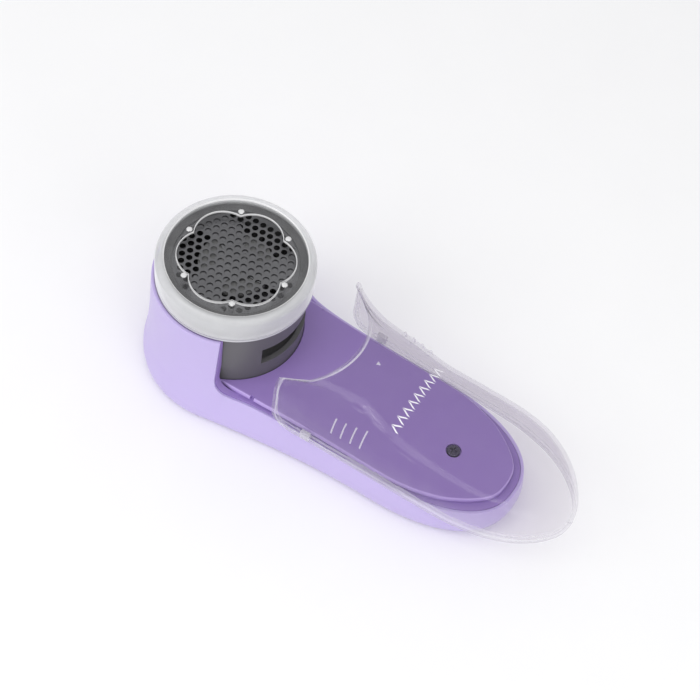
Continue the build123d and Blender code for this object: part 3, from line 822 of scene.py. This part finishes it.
def tub_front(t):
    """Closed x where the line at t meets the container's concave mouth."""
    x = TUB[0, 0]
    for _ in range(40):
        y, z = tub_arch(x, t)
        mouth = 0.0
        if abs(y) < TUB_MOUTH_R:
            mouth = TUB_MOUTH_X + math.sqrt(TUB_MOUTH_R**2 - y**2)
        edge = TUB[0, 0]
        low = TUB_FOOT + TUB_CORNER_R - z
        if low > 0:
            edge += TUB_CORNER_R - math.sqrt(max(TUB_CORNER_R**2 - low**2, 0.0))
        x += 0.5 * (max(mouth, edge) - x)
    return x


def step_down(value, edge, width):
    """1 below edge, 0 above edge + width, smooth between."""
    s = min(max((value - edge) / width, 0.0), 1.0)
    return 1 - s * s * (3 - 2 * s)


def tub_point(x, t, from_front):
    """Outer surface with its mouth bead, foot bead and crease."""
    y, z = tub_arch(x, t)
    y2, z2 = tub_arch(x, min(t + 0.004, 1.0))
    y1, z1 = tub_arch(x, max(t - 0.004, 0.0))
    dy, dz = y2 - y1, z2 - z1
    size = math.hypot(dy, dz) or 1.0
    fade = step_down(x, 112.0, 18.0)
    raised = 0.45 * step_down(from_front, 1.25, 0.5)
    raised = max(raised, 0.55 * step_down(z, TUB_FOOT + 1.9, 0.8) * fade)
    raised = max(raised, 0.3 * step_down(t, FLANK, 0.012) * step_down(x, 40.0, 12.0))
    return y + raised * dz / size, z - raised * dy / size


def arch_at_height(x, z):
    """Half width of the container at closed x and height z."""
    low, high = 0.0, 1.0
    for _ in range(30):
        mid = (low + high) / 2
        if tub_arch(x, mid)[1] < z:
            low = mid
        else:
            high = mid
    return tub_arch(x, low)[0]


def ridge(x, side):
    """Half-round grip ridge running up the container's flank."""
    verts, faces = [], []
    steps, across = 14, 6
    for i in range(steps + 1):
        s = i / steps
        z = RIDGE_Z[0] + (RIDGE_Z[1] - RIDGE_Z[0]) * s
        taper = math.sin(min(s, 1 - s) * math.pi * 2) if min(s, 1 - s) < 0.25 else 1.0
        y0 = arch_at_height(x, z) - 0.15
        for k in range(across + 1):
            a = math.pi * k / across
            rise = math.sin(a) * taper
            verts.append((x + OPENING - 0.38 * math.cos(a), side * (y0 + 0.62 * rise),
                          z + 0.3 * rise))
    w = across + 1
    for i in range(steps):
        for k in range(w):
            a, b = i * w + k, i * w + (k + 1) % w
            faces.append((a, b, b + w, a + w))
    faces += [tuple(range(w)), tuple(range(steps * w, steps * w + w))]
    obj = new_object("ridge", verts, faces)
    weld(obj, 1e-7)
    # The whole ridge takes the pale paint: a painted highlight for its glint.
    two_tone(obj, CLEAR_TUB, TUB_PAINTED_HIGHLIGHT, lambda p: True)
    return obj


def latch(side):
    """Small clip on the foot of the container that drops into the deck's notch."""
    y = arch_at_height(LATCH_X, TUB_FOOT + 2.5)
    x = LATCH_X + OPENING
    y0, y1 = sorted((side * (y - 1.3), side * (y + 0.75)))
    obj = box_mesh(x - 2.2, x + 2.2, y0, y1, TUB_FOOT + 0.3, TUB_FOOT + 4.6, "latch")
    bevel(obj, 0.45, 30, 3)
    apply(obj)
    # The whole clip takes the pale paint: a painted highlight for its glint.
    two_tone(obj, CLEAR_TUB, TUB_PAINTED_HIGHLIGHT, lambda p: True)
    return obj


def trim_front(tub):
    """Keeps the wall's inner edge clear of the cup's edge and of the round housing."""
    front = (TUB[0, 0] + OPENING) * MM
    mouth = (TUB_MOUTH_X + OPENING) * MM
    for v in tub.data.vertices:
        x, y = v.co.x - mouth, v.co.y
        reach = math.hypot(x, y)
        if x > 0 and reach < TUB_MOUTH_R * MM:
            v.co.x = mouth + x * TUB_MOUTH_R * MM / reach
            v.co.y = y * TUB_MOUTH_R * MM / reach
        v.co.x = max(v.co.x, front)


def container():
    """Clear lint container, drawn where it stands open."""
    lines = np.r_[np.linspace(0, FLANK, 21), FLANK + 0.006, FLANK + 0.012,
                  0.22 + 0.78 * (np.linspace(0, 1, 45))**0.92]
    count = 110
    verts, faces, rows = [], [], []
    for t in lines:
        x0 = tub_front(t)
        row = []
        along = list(FRONT_STEPS)
        rest = TUB[-1, 0] - x0 - along[-1]
        along += [along[-1] + rest * math.sin(i / count * math.pi / 2)
                  for i in range(1, count + 1)]
        for step in along:
            y, z = tub_point(x0 + step, t, step)
            row.append((x0 + step + OPENING, y, z))
        rows.append(row)
    # Strips behind the mouth and a band just above the foot take the pale paint: painted
    # highlight lines.
    bright = []
    full = [[(x, -y, z) for x, y, z in r] for r in rows] + rows[-2::-1]
    n = len(rows[0])
    for r in full:
        verts += r
    for i in range(len(full) - 1):
        for j in range(n - 1):
            a = i * n + j
            faces.append((a, a + n, a + n + 1, a + 1))
            z = verts[a][2]
            bright.append(j in LIP_ROWS or TUB_FOOT + 1.8 < z < TUB_FOOT + 2.7)
    tub = new_object("container_skin", verts, faces)
    two_tone(tub, CLEAR_TUB, TUB_PAINTED_HIGHLIGHT, lambda p: bright[p.index])
    weld(tub, 2e-5)
    # The wall's cut rims take the pale paint too: painted highlight.
    solidify(tub, TUB_WALL, even=False).material_offset_rim = 1
    apply(tub)
    trim_front(tub)
    bevel(tub, 0.3, 50, 2)
    apply(tub)
    ridges = [ridge(x, side) for x in RIDGE_X for side in (1, -1)]
    tub = join("container_visible", [tub] + ridges + [latch(side) for side in (1, -1)])
    smooth_by_angle(tub, 40)
    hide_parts("container")
    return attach(tub, "lint_container")


container()


def decal(name, outlines, material=INK):
    """Ink, or the given material, on top of the container: flat shapes in closed x and y, laid
    on its surface.
    """
    objects = []
    for outline in outlines:
        corners = np.array(outline, float)
        ring = []
        for a, b in zip(corners, np.roll(corners, -1, axis=0)):
            for s in np.linspace(0, 1, 5)[:-1]:
                ring.append(a + (b - a) * s)
        verts = []
        for lift in (0.03, 0.1):
            for x, y in ring:
                half, z_wide, top, power, _ = smooth_table(TUB, x)
                a = math.acos(min((abs(y) / half)**(power / 2), 1.0))
                z = z_wide + (top - z_wide) * math.sin(a)**(2 / power)
                verts.append((x + OPENING, y, z + lift))
        n = len(ring)
        faces = [tuple(range(n - 1, -1, -1)), tuple(range(n, 2 * n))]
        faces += [(i, (i + 1) % n, n + (i + 1) % n, n + i) for i in range(n)]
        objects.append(new_object("mark", verts, faces, smooth=False))
    obj = join(name, objects)
    bm = bmesh.new()
    bm.from_mesh(obj.data)
    bmesh.ops.triangulate(bm, faces=[f for f in bm.faces if len(f.verts) > 4])
    bmesh.ops.recalc_face_normals(bm, faces=bm.faces)
    bm.to_mesh(obj.data)
    bm.free()
    obj.data.materials.clear()
    obj.data.materials.append(material)
    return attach(obj, "lint_container")


def knit_mark():
    """Row of knit stitches: pairs of slanted strokes across the container."""
    strokes = []
    for i in range(9):
        y = -16.0 + 4.0 * i
        for sign in (1, -1):
            strokes.append([(58.6, y + sign * 0.15), (59.9, y + sign * 0.15),
                            (62.9, y + sign * 1.55), (61.6, y + sign * 1.55)])
    return decal("knit_mark", strokes)


knit_mark()
# The moulded arrow is drawn in the pale paint: a painted highlight for its lit edges.
decal("slide_arrow", [[(41.0, -1.0), (41.0, 1.0), (42.7, 0.0)]], TUB_PAINTED_HIGHLIGHT)


# ---------------------------------------------------------------- guard
PETALS, CUSP_R, LOBE_R = 6, 20.4, 23.5
GUARD_R, GUARD_BORE_R, GUARD_ROUND = 32.0, 30.2, 2.8
GUARD_TOP, GUARD_FACE, GUARD_INNER, GUARD_FOOT = 63.5, 63.0, 61.8, 51.6
FACE_R = 28.3                    # where the flat face meets the raised rim
STUD_R, STUD_AT = 1.1, 22.6


def petal_radius(theta):
    """Edge of the six-lobed opening: each lobe is an arc from cusp to cusp."""
    step = 2 * math.pi / PETALS
    a = (theta % step) - step / 2
    half = step / 2
    cusp = (CUSP_R * math.cos(half), CUSP_R * math.sin(half))
    c = (LOBE_R**2 - cusp[0]**2 - cusp[1]**2) / (2 * (LOBE_R - cusp[0]))
    r = LOBE_R - c
    return c * math.cos(a) + math.sqrt(max(r * r - (c * math.sin(a))**2, 0.0))


def guard_profile(e):
    """Radius and height round the guard's section, where its opening has radius e."""
    loop = [(e + 0.12, 61.9), (e, 62.1), (e, 62.75), (e + 0.1, 62.93), (e + 0.3, GUARD_FACE)]
    loop += [(e + 0.3 + (FACE_R - e - 0.3) * s, GUARD_FACE) for s in np.linspace(0, 1, 26)[1:]]
    loop += [(28.5, 63.06), (28.62, 63.3), (28.8, 63.45), (29.2, GUARD_TOP)]
    for b in np.radians(np.linspace(0, 90, 9)[1:]):
        loop.append((GUARD_R - GUARD_ROUND * (1 - math.sin(b)),
                     GUARD_TOP - GUARD_ROUND * (1 - math.cos(b))))
    loop += [(31.97, 58.5), (31.9, 55.5), (31.86, 52.4), (31.8, 51.8), (31.62, GUARD_FOOT)]
    loop += [(30.4, GUARD_FOOT)] + [(GUARD_BORE_R, z) for z in (51.8, 55.0, 60.3)]
    loop += [(29.9, 61.1), (29.2, 61.6)] + [(r, GUARD_INNER) for r in (28.4, 26.0, e + 0.4)]
    return loop


def guard():
    """Clear height guard with its six-petal opening and a stud at each cusp."""
    around = 360
    verts, faces = [], []
    studs = [(STUD_AT * math.cos(i * math.pi / 3), STUD_AT * math.sin(i * math.pi / 3))
             for i in range(PETALS)]
    for i in range(around):
        a = 2 * math.pi * i / around
        profile = guard_profile(petal_radius(a))
        for r, z in profile:
            x, y = r * math.cos(a), r * math.sin(a)
            if z > GUARD_FACE - 0.1:
                for sx, sy in studs:
                    d2 = (x - sx)**2 + (y - sy)**2
                    if d2 < STUD_R**2:
                        z += math.sqrt(STUD_R**2 - d2) * 0.5
            verts.append((x, y, min(z, GUARD_TOP)))
    m = len(profile)
    for i in range(around):
        for j in range(m):
            a, b = i * m + j, i * m + (j + 1) % m
            c, d = ((i + 1) % around) * m + (j + 1) % m, ((i + 1) % around) * m + j
            faces.append((a, d, c, b))
    obj = new_object("guard_visible", verts, faces)
    weld(obj)
    smooth_by_angle(obj, 50)

    # Petal edges, the rim's step, the studs and the foot line take the pale paint: painted
    # highlights for the glints and bright lines light makes on clear edges.
    def gets_painted_highlight(p):
        x, y, z = (c / MM for c in p.center)
        r = math.hypot(x, y)
        petal = z > GUARD_INNER - 0.1 and r < petal_radius(math.atan2(y, x)) + 0.26
        step = 28.25 < r < 28.9 and z > GUARD_FACE - 0.05
        stud = z > GUARD_FACE + 0.12 and r < 24.0
        foot = z < GUARD_FOOT + 0.3 and r > 31.0
        return petal or step or stud or foot

    two_tone(obj, CLEAR_GUARD, GUARD_PAINTED_HIGHLIGHT, gets_painted_highlight)
    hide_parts("guard")
    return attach(obj, "guard_cap")


guard()


# ---------------------------------------------------------------- foil
HOLE_R, PITCH = 1.22, 3.55
FOIL_TOP, DOME_RISE, DOME_R = 59.7, 0.12, 27.0
CELLS_R, HOLES_R = 26.2, 24.2    # how far the cells and the holes reach from the axis


def foil():
    """Etched foil: hexagonal cells, each with a hole whose edge is turned down."""
    verts, faces = [], []
    steps = 24
    lip = [(HOLE_R + 0.22, 0.0), (HOLE_R + 0.06, -0.07), (HOLE_R, -0.3)]

    def hexagon(a):
        return PITCH / 2 / math.cos(a % (math.pi / 3) - math.pi / 6)

    def dome(x, y):
        return FOIL_TOP + DOME_RISE * (1 - (x * x + y * y) / DOME_R**2)

    for row in range(-10, 11):
        for column in range(-10, 11):
            cx = (column + 0.5 * (row % 2)) * PITCH
            cy = row * PITCH * math.sqrt(0.75)
            r = math.hypot(cx, cy)
            if r > CELLS_R:
                continue
            base = len(verts)
            rings = [(None, 0.0)] + (lip if r < HOLES_R else [])
            for radius, drop in rings:
                for i in range(steps):
                    a = 2 * math.pi * i / steps
                    reach = hexagon(a) if radius is None else radius
                    x = cx + reach * math.cos(a - math.pi / 6)
                    y = cy + reach * math.sin(a - math.pi / 6)
                    verts.append((x, y, dome(x, y) + drop))
            if len(rings) == 1:
                faces.append(tuple(range(base, base + steps)))
            for level in range(len(rings) - 1):
                for i in range(steps):
                    j = (i + 1) % steps
                    a, b = base + level * steps + i, base + level * steps + j
                    c, d = base + (level + 1) * steps + j, base + (level + 1) * steps + i
                    faces.append((a, b, c, d))
    obj = new_object("foil_visible", verts, faces)
    weld(obj, 2e-5)
    smooth_by_angle(obj, 40)
    obj.data.materials.append(FOIL)
    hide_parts("foil")
    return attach(obj, "foil_unit")


foil()


# ---------------------------------------------------------------- stage, light, camera
def stage():
    """Pale floor and an even white world."""
    n = Nodes("pale_floor")
    fine = n.noise(30, 3, 0.5)
    n.set(color=n.mix(fine, (0.95, 0.95, 0.95), (0.975, 0.975, 0.975)), rough=0.75)
    bpy.ops.mesh.primitive_plane_add(size=6, location=(0, 0, -0.0002))
    floor = bpy.context.object
    floor.name = "floor"
    floor.data.materials.append(n.mat)
    world = bpy.data.worlds.new("studio")
    world.use_nodes = True
    background = world.node_tree.nodes["Background"]
    background.inputs["Color"].default_value = (0.985, 0.985, 1.0, 1)
    background.inputs["Strength"].default_value = 0.76
    bpy.context.scene.world = world
    bpy.context.scene.view_settings.view_transform = "Standard"


def lamp(name, place, target, size, power):
    """Rectangular soft lamp aimed at target."""
    data = bpy.data.lights.new(name, "AREA")
    data.shape = "RECTANGLE"
    data.size, data.size_y = size
    data.energy = power
    obj = bpy.data.objects.new(name, data)
    bpy.context.scene.collection.objects.link(obj)
    obj.location = place
    obj.rotation_euler = (Vector(target) - Vector(place)).to_track_quat("-Z", "Y").to_euler()


def camera():
    """Camera from above the near side, rolled a little, 0.7 m from its target."""
    azimuth, elevation, roll = (math.radians(v) for v in (24.0, 55.6, 10.4))
    distance = 0.7
    target = Vector((52.0, 6.5, 36.0)) * MM
    back = Vector((math.sin(azimuth) * math.cos(elevation),
                   -math.cos(azimuth) * math.cos(elevation), math.sin(elevation)))
    right = Vector((math.cos(azimuth), math.sin(azimuth), 0))
    up = back.cross(right)
    c, s = math.cos(roll), math.sin(roll)
    right, up = c * right + s * up, c * up - s * right
    data = bpy.data.cameras.new("camera")
    data.lens = 90.3
    data.sensor_width = 36
    cam = bpy.data.objects.new("camera", data)
    bpy.context.scene.collection.objects.link(cam)
    turn = Matrix((right, up, back)).transposed().to_4x4()
    cam.matrix_world = Matrix.Translation(target + back * distance) @ turn
    bpy.context.scene.camera = cam


stage()
lamp("key", (-0.5, -0.75, 0.75), (0.03, 0, 0.03), (0.7, 0.5), 2.5)
lamp("fill", (0.9, -0.4, 0.5), (0.05, 0, 0.03), (0.6, 0.6), 1.2)
lamp("top", (0.1, -0.42, 1.05), (0.05, 0, 0.03), (1.0, 0.35), 1.8)
lamp("streak", (0.36, -0.3, 0.78), (0.07, 0, 0.04), (0.4, 0.02), 0.2)
camera()

bpy.context.view_layer.update()
